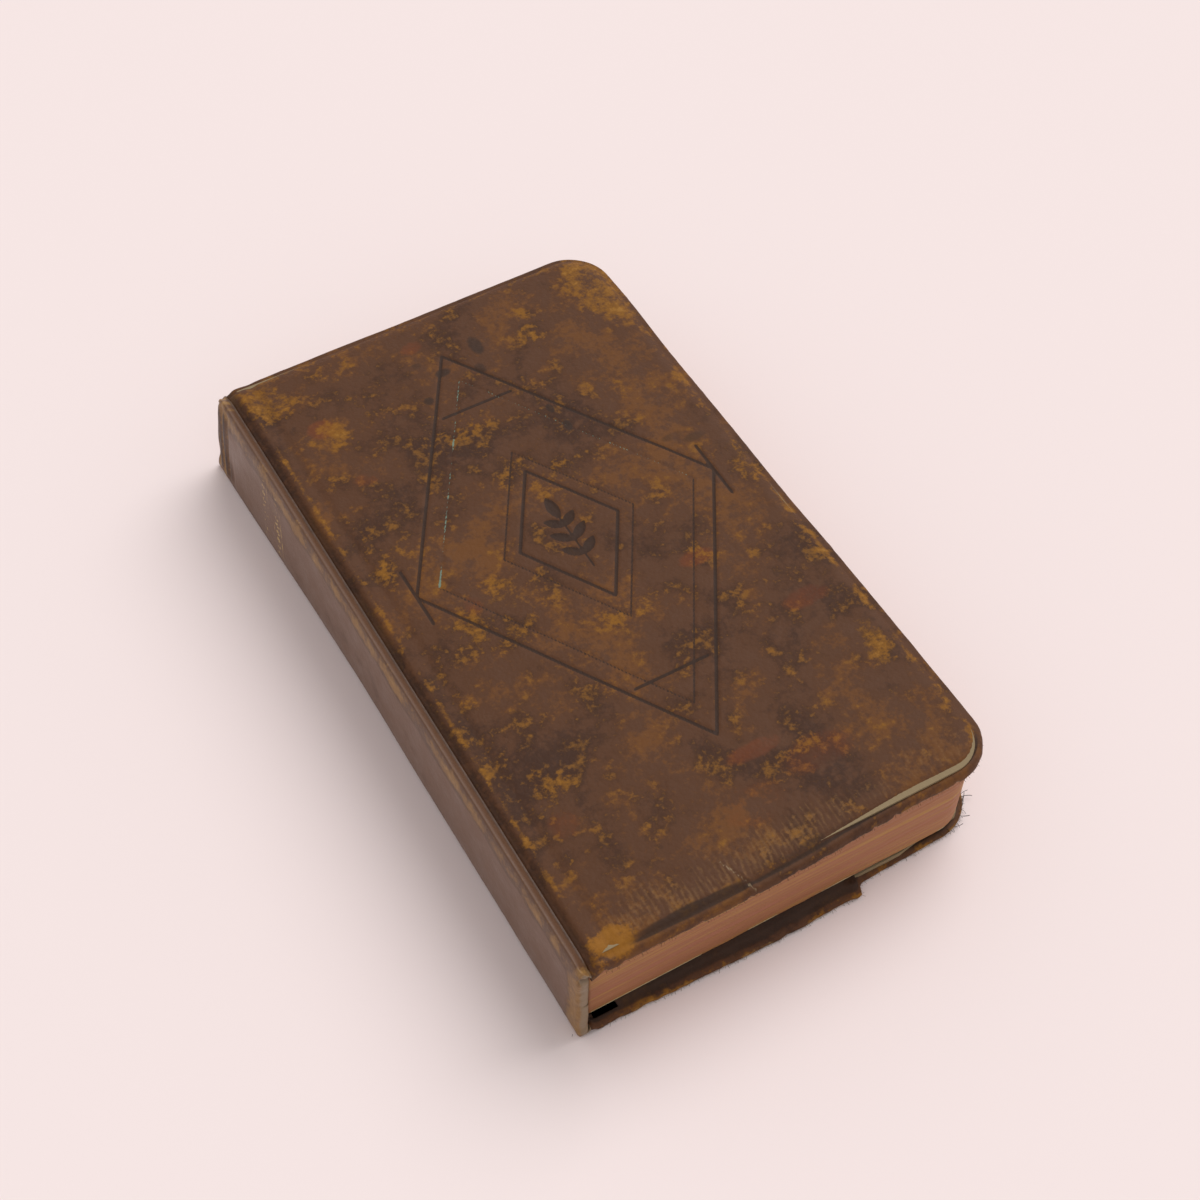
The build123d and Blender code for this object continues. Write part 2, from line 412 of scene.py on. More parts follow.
def outward(loop_xy, open_count):
    """Unit directions out of a border, straight out at its open sides and none at the hinge."""
    ahead, behind = np.roll(loop_xy, -1, axis=0), np.roll(loop_xy, 1, axis=0)
    along = ahead - behind
    along[0], along[open_count - 1] = (1, 0), (-1, 0)
    out = np.column_stack([along[:, 1], -along[:, 0]])
    out /= np.linalg.norm(out, axis=1)[:, None]
    out[open_count:] = 0
    return out


def shell_faces(nx, ny, loop, ring_count):
    """Faces of the grid, of the rings round it, and of the one that closes the shell."""
    i, j = np.meshgrid(np.arange(nx - 1), np.arange(ny - 1), indexing="ij")
    a = (i * ny + j).ravel()
    faces = np.column_stack([a, a + ny, a + ny + 1, a + 1]).tolist()
    rows = [loop] + [nx * ny + k * len(loop) + np.arange(len(loop)) for k in range(ring_count)]
    for upper, lower in zip(rows, rows[1:]):
        faces += np.column_stack([upper, lower, np.roll(lower, -1), np.roll(upper, -1)]).tolist()
    faces.append(rows[-1][::-1].tolist())
    return faces


def cover_shell(step_x, step_y, depth, lip, joint_side, shape_ring=None):
    """Points (x, y, depth under the outer face), the ring number of each, and faces of a cover's skin.

    lip and joint_side are lists of (out, in) distances from the border, one pair for each ring."""
    x, y = cover_grid(step_x, step_y)
    nx, ny = x.shape
    points = [np.column_stack([x.ravel(), y.ravel(), depth(x, y).ravel()])]
    loop, open_count = border(nx, ny)
    edge = points[0][loop]
    out = outward(edge[:, :2], open_count)
    rings = [np.zeros(nx * ny)]
    is_open = np.arange(len(loop)) < open_count
    for k, ((lip_out, lip_in), (joint_out, joint_in)) in enumerate(zip(lip, joint_side), 1):
        ring = edge.copy()
        ring[:, :2] += out * lip_out
        ring[~is_open, 0] += joint_out
        ring[:, 2] += np.where(is_open, lip_in, joint_in)
        if shape_ring:
            ring = shape_ring(k, ring, out, is_open)
        points.append(ring)
        rings.append(np.full(len(loop), float(k)))
    faces = shell_faces(nx, ny, loop, len(lip))
    return np.vstack(points), np.concatenate(rings), faces


# %% [markdown]
# The front skin's lip hangs about four millimetres down over the pages.  Its raw bottom edge isn't
# straight: it is nibbled and wavy, and here and there a little is missing.

# %% The front cover's skin
PAPER = 0.2
SKIN_CLEAR = 0.02  # keeps the turned-in leather off the paper that is pasted over it
inner_face = thick - (paste_low[2] + PAPER) - SKIN_CLEAR  # depth of the leather turned in over the board
front_lip = [
    (0.33, 0.30), (0.58, 0.78), (0.72, 1.32), (0.76, 1.85), (0.66, 2.25), (0.30, 2.42),
    (-0.15, 2.22), (-0.75, 1.85), (-1.85, 1.55), (-7.2, 1.55),
]
front_joint = [
    (0.0, 0.30), (0.0, 0.55), (0.0, 0.80), (0.0, 1.0), (0.25, 1.0), (0.55, 1.0),
    (0.85, 1.02), (1.05, 1.25), (1.6, 1.5), (7.2, 1.5),
]


def nibbled(k, ring, out, is_open):
    """Waves and nicks in the lip, growing towards its raw edge; the inner rings end up level."""
    x, y = ring[:, 0].copy(), ring[:, 1].copy()
    along = x * 1.0 + y * 1.37
    sag = 0.28 * noise(along, x, 13, 61) + 0.16 * noise(along, y, 3.1, 62)
    nick = ease(0.45, 0.8, noise(along, x, 1.9, 63)) * 0.42 + 0.10 * noise(along, y, 0.7, 64)
    strength = {1: 0.1, 2: 0.35, 3: 0.7, 4: 1.0, 5: 1.0, 6: 1.0, 7: 0.8, 8: 0.4}.get(k, 0.0)
    ring[:, 2] += np.where(is_open, strength * (sag - nick), 0)
    ring[:, :2] += out * (strength * (0.15 * noise(along, y, 2.3, 65) - 0.3 * nick))[:, None]
    if k >= 9:
        ring[:, 2] = inner_face
    return ring


shell = cover_shell(FRONT_STEP, FRONT_STEP, cover_depth, front_lip, front_joint, nibbled)
points, front_ring_of, faces = shell
marks = cover_marks(points[:, 0], points[:, 1])
marks["raw"] = np.clip(hump(front_ring_of, 5.5, 1.6) * (points[:, 0] > hinge_x + 0.2), 0, 1)
points[:, 2] = thick - points[:, 2]
front_skin = make_piece("front_cover_skin", warp(points), faces, marks)

# %% [markdown]
# The spine's skin is the same leather, stuck straight to the backs of the pages and rubbed smooth.  In
# section it climbs out of the front groove over a narrow ridge, rounds the shoulder, falls straight
# down, and tucks under into the back groove.  At the head and the tail it is folded in on itself, which
# makes the thick soft caps.  It is swept as a loop of points for each step of the section: along the
# outside, round the head cap, back along the inside and round the tail cap.

# %% The spine's section
ridge_x = hinge_x - groove_half
shoulder_high = 5.5


def spine_section():
    """Points (x, z) of the outer face, from the front groove over the ridge and down to the back one."""
    groove_x = np.linspace(hinge_x, ridge_x, 16)
    dip = groove_deep * np.cos((groove_x - hinge_x) / groove_half * np.pi / 2) ** 2
    top = np.column_stack([groove_x, thick - dip])
    turn = np.linspace(0, np.pi / 2, 16)[1:]
    shoulder = np.column_stack([ridge_x * (1 - np.sin(turn)), thick - shoulder_high * (1 - np.cos(turn))])
    face_z = np.linspace(thick - shoulder_high, shoulder_high, 26)[1:]
    face = np.column_stack([np.zeros_like(face_z), face_z])
    low = np.column_stack([shoulder[::-1, 0], thick - shoulder[::-1, 1]])[1:]
    under = np.column_stack([top[::-3, 0], thick - top[::-3, 1]])
    return np.vstack([top, shoulder, face, low, under])


section = spine_section()
print("spine section points", len(section), "depth", round(float(np.ptp(section[:, 1])), 1))

# %% [markdown]
# The caps are where the spine shows its age: the head cap is pulled in and folded into four or five
# upright creases, and the tail cap is rubbed to grey suede, with a hole torn near its top.

# %% The spine's skin
cap_roll = [(0.42, 0.22), (0.68, 0.62), (0.80, 1.2), (0.78, 1.9), (0.55, 2.45), (0.05, 2.75), (-1.7, 2.75)]
skin_in = 1.15  # thickness of the skin along the pages


def inward(section_points, amount):
    """The section moved towards the pages by amount."""
    x, z = section_points.T
    share = 1 - np.clip(x / hinge_x, 0, 1)
    middle = thick / 2
    return np.column_stack([x + amount * share, middle + (z - middle) * (1 - 0.8 * amount / middle)])


def spine_loops():
    """For each section point, a closed loop of (x, y, z), the depth inside the skin and the end reached."""
    gy = cover_grid(FRONT_STEP, FRONT_STEP)[1][0]
    rows = [(y, 0.0) for y in gy]
    rows += [(gy[-1] + out, inside) for out, inside in cap_roll]
    rows += [(height - 5.0, skin_in), (height / 2, skin_in), (5.0, skin_in)]
    rows += [(gy[0] - out, inside) for out, inside in cap_roll[::-1]]
    columns = [np.column_stack([inward(section, inside), np.full(len(section), y)]) for y, inside in rows]
    cloud = np.array(columns)[:, :, [0, 2, 1]]
    inside = np.array([row[1] for row in rows])
    return cloud, inside


def crumple_caps(x, y, z, inside):
    """Upright folds in the head cap, wear on the tail cap and the hole in it."""
    from_head, outer = height - y, 1 - ease(0.8, 2.6, inside)
    face = 1 - ease(0.4, 2.4, x)
    level = ease(1.0, 5.0, z) * (1 - ease(24.5, 28.0, z))
    near_head = 1 - ease(5.5, 12.0, from_head + 1.6 * noise(z, y, 9, 71))
    fold_wave = np.cos(2 * np.pi * (from_head + 0.8 * noise(z, y, 7, 72)) / 3.1)
    folds = near_head * level * face * outer
    x = x + folds * (0.30 - 0.42 * fold_wave) + 0.5 * (1 - ease(0, 5, from_head)) * face * outer * level
    pulled = (1 - ease(0, 6, from_head)) ** 2 * ease(23.0, 28.0, z) * (1 - ease(1.5, 3.0, x))
    y = y - 1.5 * pulled
    z = z - 0.5 * pulled
    from_tail = y
    near_tail = 1 - ease(0, 3.5, from_tail)
    x = x + near_tail * face * 0.18 * rough(z, x, 3.4, 75)
    y = y + near_tail * 0.22 * rough(z, x, 2.6, 77)
    hole = hump(np.hypot((x - 1.5) / 1.3, (z - 25.2) / 1.0), 0, 0.75) * near_tail
    y = y + 1.7 * hole
    return x, y, z, folds, fold_wave, hole


cloud, inside = spine_loops()
count_y, count_s = cloud.shape[:2]
sx, sy, sz = cloud[..., 0].T.ravel(), cloud[..., 1].T.ravel(), cloud[..., 2].T.ravel()
inside_all = np.tile(inside, count_s)
sx, sy, sz, folds, fold_wave, hole = crumple_caps(sx, sy, sz, inside_all)
face_wave = 0.10 * rough(sy, sz, 26, 81) * (1 - ease(0.2, 1.2, sx)) * (1 - ease(0.3, 1.0, inside_all))
on_groove = np.clip((sx - ridge_x) / (hinge_x - ridge_x), 0, 1)
cover_y = np.clip(sy, GRID_INSET, height - GRID_INSET)
drop = cover_depth(np.full_like(sy, hinge_x), cover_y) - groove_deep
sz = sz - np.where(sz > thick / 2, (0.35 + 0.65 * on_groove) * drop, 0)
spine_points = warp(np.column_stack([sx + face_wave, sy, sz]))
spine_faces = []
for s in range(count_s - 1):
    first, second = s * count_y + np.arange(count_y), (s + 1) * count_y + np.arange(count_y)
    spine_faces += np.column_stack([first, np.roll(first, -1), np.roll(second, -1), second]).tolist()
spine_faces.append(list(range(count_y))[::-1])
spine_faces.append([(count_s - 1) * count_y + k for k in range(count_y)])

# %% [markdown]
# The spine's marks: the shoulder and the caps are rubbed to tan, and two narrow bands of gilt ornament,
# little lozenges between fine lines, are nearly worn away.  Shade is painted in: the groove and the head
# cap's folds are darkened, and the hole in the tail cap is painted near black.  The flat face gets a paler
# tint, partly a painted sheen.

# %% The spine's marks
def gilt_bands(y, z):
    """How near each point is to the gilt: two rows of small lozenges, each between two fine lines."""
    nearest = np.full(np.shape(y), TOOL_REACH)
    for centre in (139.8, 146.4):
        across = np.mod(z, 2.6) - 1.3
        lozenge = np.abs(across) * 0.9 + np.abs(y - centre) * 0.75
        nearest = np.minimum(nearest, np.abs(lozenge - 0.62))
        for side in (-1, 1):
            nearest = np.minimum(nearest, np.abs(y - centre - side * 1.75) + 0.12)
    inside_face = ease(2.0, 3.5, z) * (1 - ease(24.5, 26.0, z))
    return np.clip(1 - nearest / TOOL_REACH, 0, 1) * inside_face


face_top = ease(21.8, 24.2, sz + 0.9 * noise(sy, sz, 5, 83))
# The spine's flat face, which gets a paler, greyer tint: partly the hide's own tone, partly a painted sheen
# reflecting the pale floor.
spine_face_tint_and_sheen = (1 - ease(0.25, 0.8, sx)) * ease(1.5, 3.0, sz) * (1 - face_top)
ragged = 0.5 + 0.5 * noise(sy, sz, 3.5, 84)
shoulder = hump(sz, 25.6, 2.6) * (1 - ease(0.9, 1.6, sx))
end_wear = 1 - ease(2, 6.5, sy + 2 * noise(sz, sy, 6, 85))
head_wear = (1 - ease(4, 11, height - sy)) * (0.55 - 0.35 * fold_wave)
shoulder_wear = 0.95 * shoulder * (0.5 + 0.5 * ragged)
# painted shade on the head cap's folds, laid on one phase of their wave
fold_shade = np.clip(folds * ease(0.2, 0.9, fold_wave), 0, 1) * 0.8
spine_marks = {
    "worn": np.clip(np.maximum.reduce([shoulder_wear, 0.8 * end_wear, head_wear]), 0, 1),
    # painted shade: the groove darkened towards the cover, and the head cap's folds
    "stain_and_shade": np.maximum(0.55 * ease(0.35, 0.9, on_groove), fold_shade),
    "spine_face_tint_and_sheen": spine_face_tint_and_sheen * (1 - end_wear) * (1 - 0.8 * ease(0.1, 0.6, folds)),
    "gilding": gilt_bands(sy, sz) * (sx < 0.4),
    "raw": np.clip(hump(inside_all, 1.6, 1.3) * (inside_all > 0.5) + 0.9 * hole, 0, 1) * (sy < height / 2),
    # painted shade: the inside of the hole in the tail cap is painted near black
    "hole": hole,
}
spine_skin = make_piece("spine_skin", spine_points, spine_faces, spine_marks)

# %% [markdown]
# The back cover's skin is the same shell turned over.  Only its lip can be seen, pressed flat on the
# table.  A strip of it has torn off along the tail, next to a small curled flap, so the border is
# pushed in there.

# %% The back cover's skin
back_lip = [
    (0.45, 0.25), (0.78, 0.62), (0.82, 1.05), (0.62, 1.45), (0.2, 1.66), (-0.4, 1.82),
    (-1.1, 1.95), (-1.7, 2.25), (-1.95, 2.6), (-7.2, 2.65),
]
tear_from = width - 34.0
flap_at = width - 34.6


def torn(k, ring, out, is_open):
    """The torn strip, the curled flap beside it, and a nibbled edge elsewhere."""
    x, y = ring[:, 0].copy(), ring[:, 1].copy()
    edge_in = 1 - ease(2.5, 7.0, edge_distance(x, y))
    along = x + 1.37 * y
    jag = 0.5 * noise(along, x, 2.4, 91) + 0.3 * noise(along, y, 0.9, 92)
    missing = ease(tear_from, tear_from + 1.5, x) * (1 - ease(6, 13, y)) * edge_in
    ring[:, 1] += missing * (2.0 + 0.5 * jag)
    ring[:, 2] -= missing * 0.45 * np.maximum(ring[:, 2] - 0.6, 0)
    flap = hump(x, flap_at, 1.7) * (y < 5) * edge_in
    ring[:, 1] -= 0.75 * flap
    ring[:, 2] += flap * (0.5 + 0.5 * jag) * (ring[:, 2] > 0.4)
    ring[:, :2] += out * (edge_in * 0.35 * jag)[:, None]
    ring[:, 2] += np.where(is_open, edge_in * 0.22 * noise(along, y, 3.3, 93) * (ring[:, 2] > 0.5), 0)
    if k >= 9:
        ring[:, 2] = inner_face
    return ring


def back_depth(x, y):
    """The back cover's outer face lies flat, but for its groove and its rounded edge."""
    groove = groove_deep * np.cos(np.clip((x - hinge_x) / groove_half, -1, 1) * np.pi / 2) ** 2
    return groove + 0.1 * (1 - ease(0.6, 2.5, edge_distance(x, y))) + 0.02


points, back_ring_of, faces = cover_shell(0.9, 0.7, back_depth, back_lip, front_joint, torn)
grid_part = back_ring_of == 0
missing_grid = ease(tear_from, tear_from + 1.5, points[:, 0]) * (1 - ease(6, 13, points[:, 1]))
missing_grid = missing_grid * (1 - ease(2.5, 7.0, edge_distance(points[:, 0], points[:, 1]))) * grid_part
points[:, 1] += 2.0 * missing_grid
raw_rings = hump(back_ring_of, 3.0, 1.7) * (points[:, 0] > hinge_x + 0.2)
ragged = 0.5 + 0.5 * noise(points[:, 0], points[:, 1], 2.2, 95)
marks = {
    "worn": np.clip(0.15 + 0.8 * raw_rings * ragged + 0.2 * grid_part, 0, 1),
    # painted shadow: the lip's inner rings, tucked under the pages, are darkened
    "stain_and_shade": np.clip(ease(4.5, 7.0, back_ring_of) * 0.95, 0, 1),
    "raw": raw_rings * ragged * 0.8,
}
back_skin = make_piece("back_cover_skin", warp(points), [f[::-1] for f in faces], marks)

# %% [markdown]
# The pages: several hundred thin leaves, cut smooth and coloured together, so from outside they are
# one block with fine lengthwise streaks.  The wall is swept round the three open sides and moved in
# and out by a fraction of a millimetre, row by row, as leaves creep.

# %% The pages
def page_path(step):
    """Points (x, y) round the pages, from the head of the spine side, anticlockwise."""
    x0, x1, y0, y1 = leaf_low[0], leaf_high[0], leaf_low[1], leaf_high[1]
    r = page_radius
    turn = np.linspace(0, np.pi / 2, 18)
    tail = np.column_stack([spaced(x0, x1 - r, step), np.full(len(spaced(x0, x1 - r, step)), y0)])
    low = np.column_stack([x1 - r + r * np.sin(turn), y0 + r - r * np.cos(turn)])
    fore_y = spaced(y0 + r, y1 - r, step)
    fore = np.column_stack([np.full(len(fore_y), x1), fore_y])
    high = np.column_stack([x1 - r + r * np.cos(turn), y1 - r + r * np.sin(turn)])
    head = tail[::-1] * [1, 0] + [0, y1]
    path = np.vstack([tail, low[1:-1], fore, high[1:-1], head])
    return path


path = page_path(0.8)
ahead, behind = np.roll(path, -1, axis=0), np.roll(path, 1, axis=0)
side = ahead - behind
side[0], side[-1] = (1, 0), (-1, 0)
out = np.column_stack([side[:, 1], -side[:, 0]]) / np.linalg.norm(side, axis=1)[:, None]
length = np.concatenate([[0], np.cumsum(np.linalg.norm(np.diff(path, axis=0), axis=1))])
page_rows = np.linspace(back_leaf_low[2], leaf_high[2], 84)
rows = []
for k, z in enumerate(page_rows):
    lean = 0.35 * math.sin(math.pi * (z - page_rows[0]) / (page_rows[-1] - page_rows[0]))
    level = np.full_like(length, z)
    creep = 0.10 * noise(length, level, 28, 101) + 0.07 * noise(length * 0.05, level, 0.45, 102)
    creep = creep + 0.05 * noise(length * 0.15, level, 0.3, 103) - 0.1 + 0.15 * lean
    dent_and_shade = 0.9 * hump(path[:, 0], 6.2, 1.6) * hump(z, 22.6, 0.45) * (path[:, 1] < 5)
    creep = creep - dent_and_shade
    creep[[0, -1]] = 0
    rows.append(np.column_stack([path + out * creep[:, None], np.full(len(path), z)]))
per_row = len(path)
page_points = np.vstack(rows)
page_faces = []
for k in range(len(page_rows) - 1):
    lower, upper = k * per_row + np.arange(per_row), (k + 1) * per_row + np.arange(per_row)
    page_faces += np.column_stack([lower, np.roll(lower, -1), np.roll(upper, -1), upper]).tolist()
page_faces.append(list(range(per_row))[::-1])
page_faces.append([(len(page_rows) - 1) * per_row + k for k in range(per_row)])
# painted shade: the dent in the pages' tail edge is darkened
dent_shade_mask = hump(page_points[:, 0], 6.0, 1.9) * hump(page_points[:, 2], 22.6, 0.5) * (page_points[:, 1] < 5)
pages = make_piece("pages", page_points, page_faces, {"dent_and_shade": dent_shade_mask})

# %% [markdown]
# Inside each cover one folded sheet does two jobs: half is pasted to the cover, half is the first free
# leaf.  It is swept from the leaf's fore-edge to the fold and back out to the pasted half's fore-edge.
# The fold has many rows squeezed into a tenth of a millimetre.

# %% The folded endpapers
FOLD_ROWS = 18


def leaf_half_length(x, x_far, half, radius):
    """Half the sheet's length at x, shorter in its rounded fore-edge corners."""
    over = np.clip(x - (x_far - radius), 0, radius)
    return half - (radius - np.sqrt(np.maximum(radius**2 - over**2, 0)))


def endpaper(name, upper):
    """One folded sheet; upper is True for the front cover's."""
    leaf_z, paste_z = leaf_low[2], paste_low[2]
    leaf_half = (leaf_high[1] - leaf_low[1]) / 2 - 0.1
    paste_half = (paste_high[1] - paste_low[1]) / 2
    paste_far, leaf_far = paste_high[0], leaf_high[0] - 0.1
    paste_radius = corner_radius - (width - paste_far)
    fold_x = leaf_low[0]
    quarter = np.linspace(0, np.pi / 2, 12)
    leaf_flat = spaced(fold_x + 0.3, leaf_far - page_radius, 3.0)[::-1]
    leaf_x = np.concatenate([leaf_far - page_radius * (1 - np.cos(quarter)), leaf_flat[1:]])
    paste_flat = spaced(fold_x + 0.3, paste_far - paste_radius, 3.0)
    paste_x = np.concatenate([paste_flat, paste_far - paste_radius * (1 - np.sin(quarter[1:]))])
    fold = np.linspace(0, 1, FOLD_ROWS)
    leaf_h = leaf_half_length(leaf_x, leaf_far, leaf_half, page_radius)
    paste_h = leaf_half_length(paste_x, paste_far, paste_half, paste_radius)
    fold_h = leaf_half + (paste_half - leaf_half) * fold
    leaf_top, paste_under = leaf_z + PAPER, paste_z
    inner = [(x, leaf_top, h) for x, h in zip(leaf_x, leaf_h)]
    inner += [(fold_x, leaf_top + (paste_under - leaf_top) * t, h) for t, h in zip(fold, fold_h)]
    inner += [(x, paste_under, h) for x, h in zip(paste_x, paste_h)]
    outer = [(x, leaf_z, h) for x, h in zip(leaf_x, leaf_h)]
    outer += [(fold_x - PAPER, leaf_top + (paste_under - leaf_top) * t, h) for t, h in zip(fold, fold_h)]
    outer += [(x, paste_z + PAPER, h) for x, h in zip(paste_x, paste_h)]
    across = np.linspace(-1, 1, 60)
    middle = height / 2
    sheets = [
        np.array([[(x, middle + h * t, z) for t in across] for x, z, h in rows]) for rows in (inner, outer)
    ]
    n, m = sheets[0].shape[:2]
    flat = np.vstack([sheet.reshape(-1, 3) for sheet in sheets])
    if not upper:
        flat[:, 2] = thick - flat[:, 2]
    faces = []
    i, j = np.meshgrid(np.arange(n - 1), np.arange(m - 1), indexing="ij")
    a = (i * m + j).ravel()
    faces += np.column_stack([a, a + 1, a + m + 1, a + m]).tolist()
    b = a + n * m
    faces += np.column_stack([b, b + m, b + m + 1, b + 1]).tolist()
    rim = [(k, 0) for k in range(n)] + [(n - 1, k) for k in range(1, m)]
    rim += [(k, m - 1) for k in range(n - 2, -1, -1)] + [(0, k) for k in range(m - 2, 0, -1)]
    rim = np.array([p * m + q for p, q in rim])
    faces += np.column_stack([rim, np.roll(rim, -1), np.roll(rim, -1) + n * m, rim + n * m]).tolist()
    if not upper:
        faces = [f[::-1] for f in faces]
    return make_piece(name, flat, faces, smooth=False)


front_paper = endpaper("front_endpaper", True)
back_paper = endpaper("back_endpaper", False)

# %% [markdown]
# One small helper adds a node, sets it and links it, for the materials and for the fibres alike.  Colours
# are written as sRGB hex values, the way a dyer's chart gives them, and one function makes them linear.

# %% The node helper and the colour helper
def add_node(tree, kind, settings=None, inputs=None):
    """A node with its settings; each input is a value, or a socket to link from."""
    made = tree.nodes.new(kind)
    for key, value in (settings or {}).items():
        setattr(made, key, value)
    for key, value in (inputs or {}).items():
        if isinstance(value, bpy.types.NodeSocket):
            tree.links.new(value, made.inputs[key])
        else:
            made.inputs[key].default_value = value
    return made


def linear(hex_colour):
    """An sRGB hex colour as the linear colour that a shader takes."""
    parts = [int(hex_colour[k : k + 2], 16) / 255 for k in (1, 3, 5)]
    return [c / 12.92 if c <= 0.04045 else ((c + 0.055) / 1.055) ** 2.4 for c in parts] + [1.0]


# %% [markdown]
# Every finish here is built in coats, as age built the real one, and a few coats paint in shade and sheen.
# A coat is a colour, and where it lies: a mark kept on the vertices, made ragged by clouds, patches, grit or
# dust.  The coats lie one over the other, and the same few noises serve them all.  The scales are real sizes:
# the hide is clouded about every 26 mm, patched every 7 mm, and its pebble grain is 1 mm.

# %% A finish built in coats
NOISE_SIZES = {"clouds": 26.0, "patches": 7.0, "grit": 1.5, "dust": 0.5}  # millimetres
PER_METRE = 1000.0


def coated(name, base, coats, rough_value, specular, grain=1.0, bump=0.00012, stretch=(1, 1, 1)):
    """A material: coats is a list of (mark, {noise: weight}, low, high, colour, strength)."""
    material = bpy.data.materials.new(name)
    material.use_nodes = True
    tree = material.node_tree
    tree.nodes.clear()
    spot = add_node(tree, "ShaderNodeTexCoord").outputs["Object"]
    laid = add_node(tree, "ShaderNodeMapping", inputs={"Vector": spot, "Scale": stretch}).outputs[0]
    noises = {}
    for label, size in NOISE_SIZES.items():
        inputs = {"Vector": laid, "Scale": PER_METRE / size, "Detail": 6.0, "Roughness": 0.62}
        noises[label] = add_node(tree, "ShaderNodeTexNoise", inputs=inputs).outputs[0]
    colour = None
    for mark, weights, low, high, tint, strength in coats:
        start = -0.5 * sum(weights.values())
        field = None
        if mark:
            field = add_node(tree, "ShaderNodeAttribute", {"attribute_name": mark}).outputs["Fac"]
            field = add_node(tree, "ShaderNodeMath", {"operation": "ADD"}, {0: field, 1: start}).outputs[0]
        for label, weight in weights.items():
            total = start if field is None else field
            inputs = {0: noises[label], 1: weight, 2: total}
            field = add_node(tree, "ShaderNodeMath", {"operation": "MULTIPLY_ADD"}, inputs).outputs[0]
        inputs = {"Value": field, "From Min": low, "From Max": high, "To Max": strength}
        share = add_node(tree, "ShaderNodeMapRange", {"interpolation_type": "SMOOTHSTEP"}, inputs).outputs[0]
        inputs = {0: share, 6: linear(base) if colour is None else colour, 7: linear(tint)}
        colour = add_node(tree, "ShaderNodeMix", {"data_type": "RGBA"}, inputs).outputs[2]
    inputs = {"Vector": laid, "Scale": PER_METRE / grain, "Randomness": 1.0}
    pebbles = add_node(tree, "ShaderNodeTexVoronoi", {"feature": "F1"}, inputs).outputs[0]
    inputs = {0: pebbles, 1: -0.8, 2: noises["dust"]}
    relief = add_node(tree, "ShaderNodeMath", {"operation": "MULTIPLY_ADD"}, inputs).outputs[0]
    inputs = {"Height": relief, "Distance": bump, "Strength": 0.8}
    normal = add_node(tree, "ShaderNodeBump", inputs=inputs).outputs[0]
    inputs = {"Value": noises["patches"], "From Min": 0.3, "From Max": 0.7}
    inputs.update({"To Min": rough_value - 0.08, "To Max": rough_value + 0.08})
    gloss = add_node(tree, "ShaderNodeMapRange", inputs=inputs).outputs[0]
    inputs = {"Base Color": colour, "Roughness": gloss, "Normal": normal, "Specular IOR Level": specular}
    shader = add_node(tree, "ShaderNodeBsdfPrincipled", inputs=inputs)
    add_node(tree, "ShaderNodeOutputMaterial", inputs={"Surface": shader.outputs[0]})
    return material


# %% [markdown]
# The cover is a vegetable-tanned hide, probably calf or sheep, dyed brown.  It is dark and greasy where it
# was held, and ochre where the dyed surface has rubbed through.  The spine is the same hide, smoothed by
# the hand to a duller brown; its flat face is tinted paler and greyer, partly its own tone and partly a
# painted sheen from the pale floor.

# %% Leather
worn_leather = coated(
    "vegetable_tanned_leather_worn",
    "#543520",
    [
        (None, {"clouds": 1.0, "patches": 0.6, "grit": 0.3}, -0.02, 0.13, "#3b2417", 0.9),
        (None, {"clouds": -1.0, "patches": 0.6, "grit": 0.5}, 0.0, 0.16, "#6b431f", 0.85),
        (None, {"patches": 1.0, "clouds": 0.4, "grit": 0.7}, 0.05, 0.24, "#7f5522", 0.7),
        ("red", {"patches": 0.8, "grit": 0.6}, 0.3, 0.75, "#6f391c", 0.6),
        # painted sheen: the tail's wrinkled leather made paler, most on the wrinkles' crests
        ("wrinkle_sheen", {"grit": 1.6, "patches": 1.0}, 0.3, 1.1, "#7d5a38", 0.6),
        ("worn", {"patches": 2.4, "grit": 1.8, "dust": 0.7}, 0.3, 0.95, "#865818", 0.8),
        ("worn", {"patches": 2.4, "grit": 2.2, "dust": 1.0}, 0.85, 1.4, "#9c6f30", 0.7),
        ("gilt", {"patches": 1.0, "grit": 2.0, "dust": 1.2}, 0.4, 1.1, "#8f5c1a", 0.75),
        # pale specks on the grain: partly rubbed wear on its tops, partly a painted highlight on the grain
        (None, {"dust": 1.0, "grit": 0.6}, 0.22, 0.4, "#94724a", 0.4),
        # real stains, and painted shade in the groove, the valley and the lip's crease
        ("stain_and_shade", {"patches": 0.6, "grit": 0.5}, 0.25, 0.75, "#33241b", 0.85),
        ("tooled", {"grit": 0.14}, 0.68, 0.8, "#33241c", 0.9),
        ("verdigris", {"patches": 0.5, "grit": 0.3}, 0.9, 0.97, "#6f8a7c", 0.8),
        ("scuff", {"grit": 0.4}, 0.9, 1.0, "#9a8468", 0.6),
        ("raw", {"grit": 0.9, "dust": 0.8}, 0.45, 1.0, "#8f7a58", 0.8),
    ],
    0.62,
    0.18,
)
